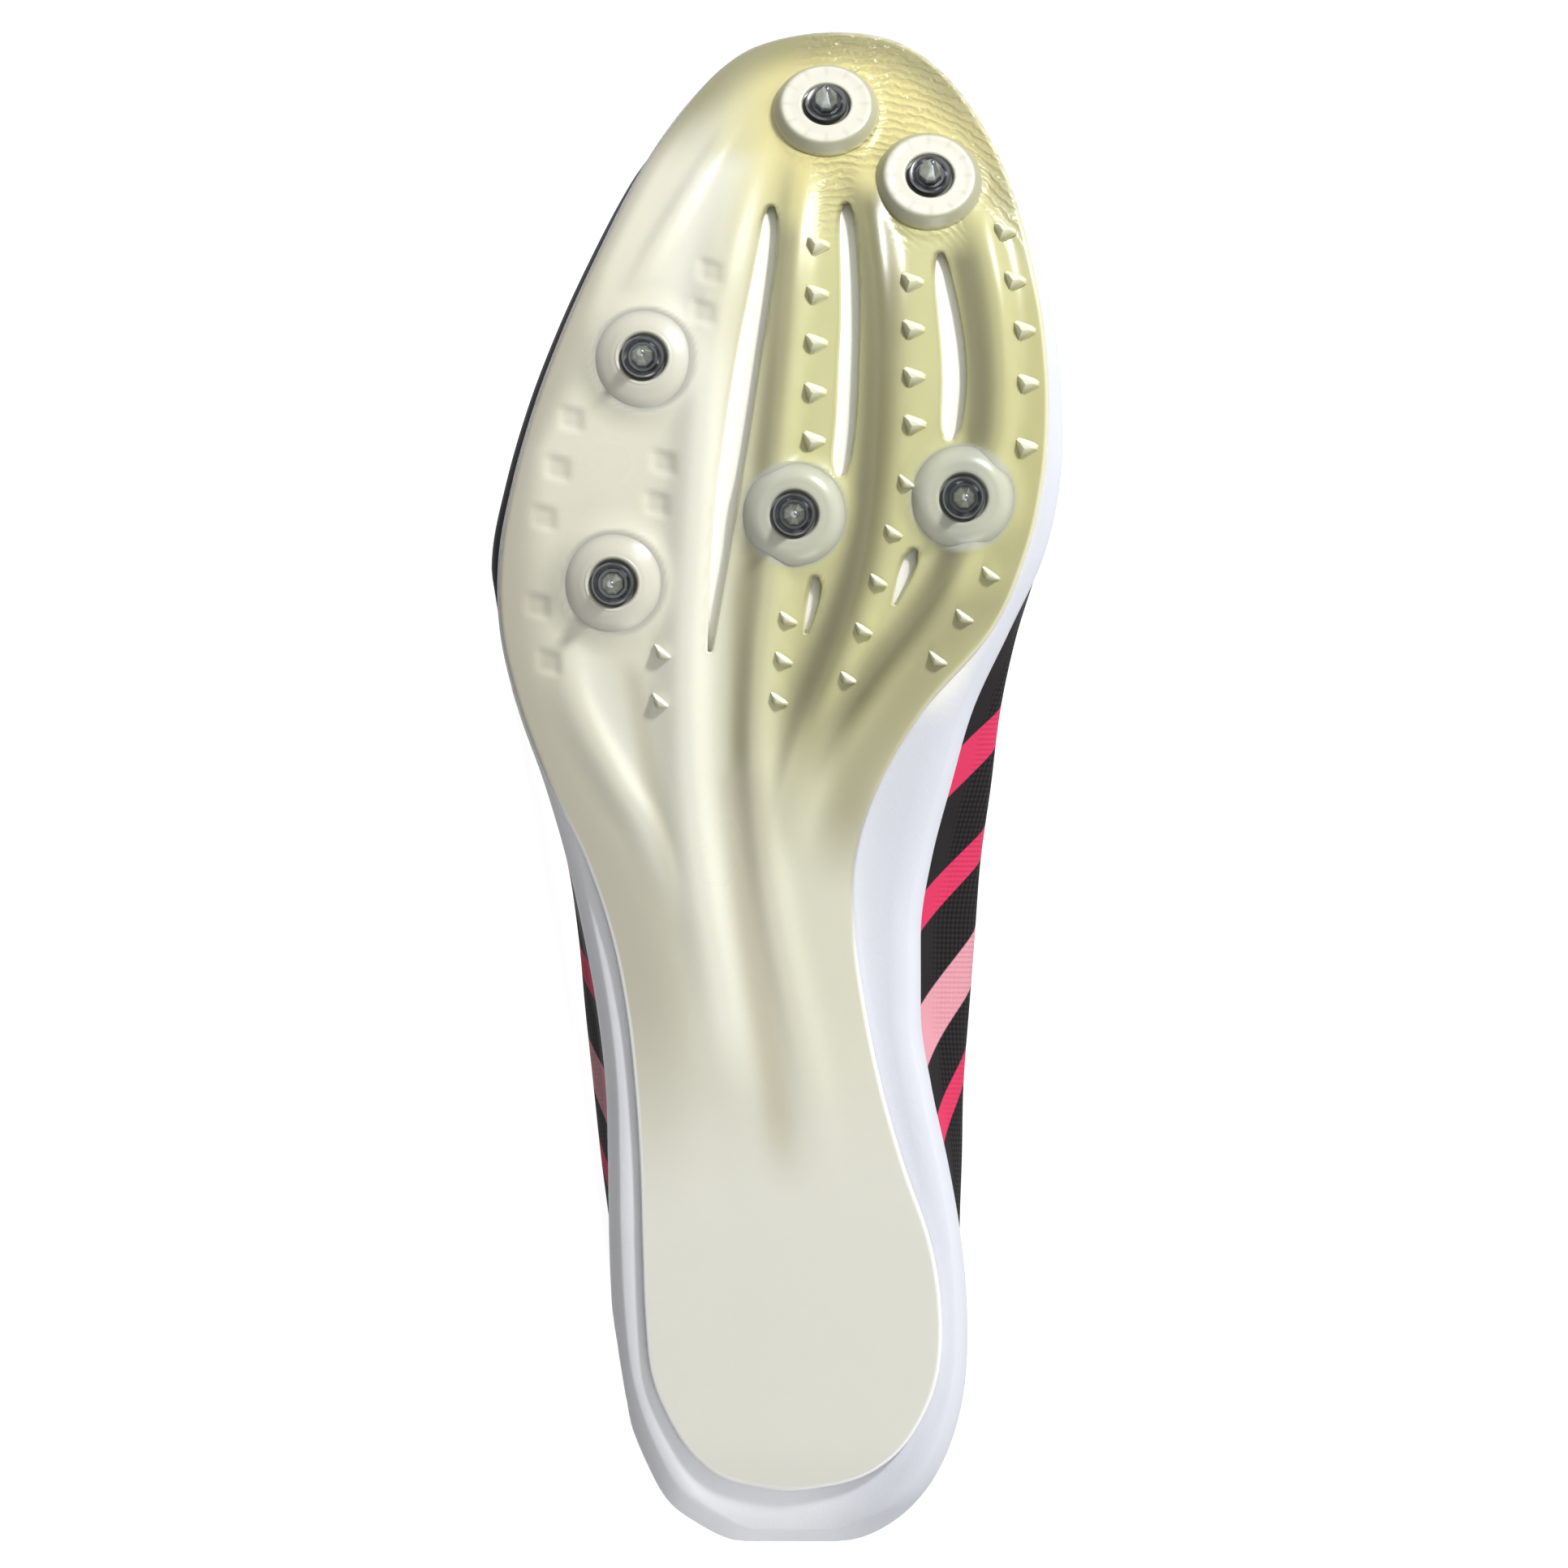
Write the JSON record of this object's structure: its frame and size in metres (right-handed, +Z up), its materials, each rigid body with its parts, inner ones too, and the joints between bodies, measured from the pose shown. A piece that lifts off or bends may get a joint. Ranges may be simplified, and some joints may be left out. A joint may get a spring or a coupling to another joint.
{
  "type": "track spike shoe",
  "caption": "Low-cut right track spike shoe lying on its lateral side, with a slotted spike plate, steel pins, foam midsole, mesh upper, tongue, lace and insole.",
  "frame": {"origin": "centre of the bounding box's bottom, on the floor that the shoe lies on", "axes": "+X runs from toe to heel along the longest extent, +Z up, -Y out of the sole; the medial side is up and the lateral side lies on the floor"},
  "size_m": [0.2774, 0.108, 0.11],
  "materials": {
    "plate_plastic": "gloss",
    "spike_steel": "satin",
    "midsole_foam": "matte",
    "upper_mesh": "matte",
    "insole_cloth": "matte",
    "tongue_mesh": "matte",
    "lace_cloth": "matte"
  },
  "bodies": {
    "root": {"outsole_plate": "plate_plastic", "spike_pin_1": "spike_steel", "spike_pin_2": "spike_steel", "spike_pin_3": "spike_steel", "spike_pin_4": "spike_steel", "spike_pin_5": "spike_steel", "spike_pin_6": "spike_steel", "midsole": "midsole_foam", "upper": "upper_mesh", "insole": "insole_cloth", "tongue": "tongue_mesh", "lace": "lace_cloth"}
  },
  "joints": []
}
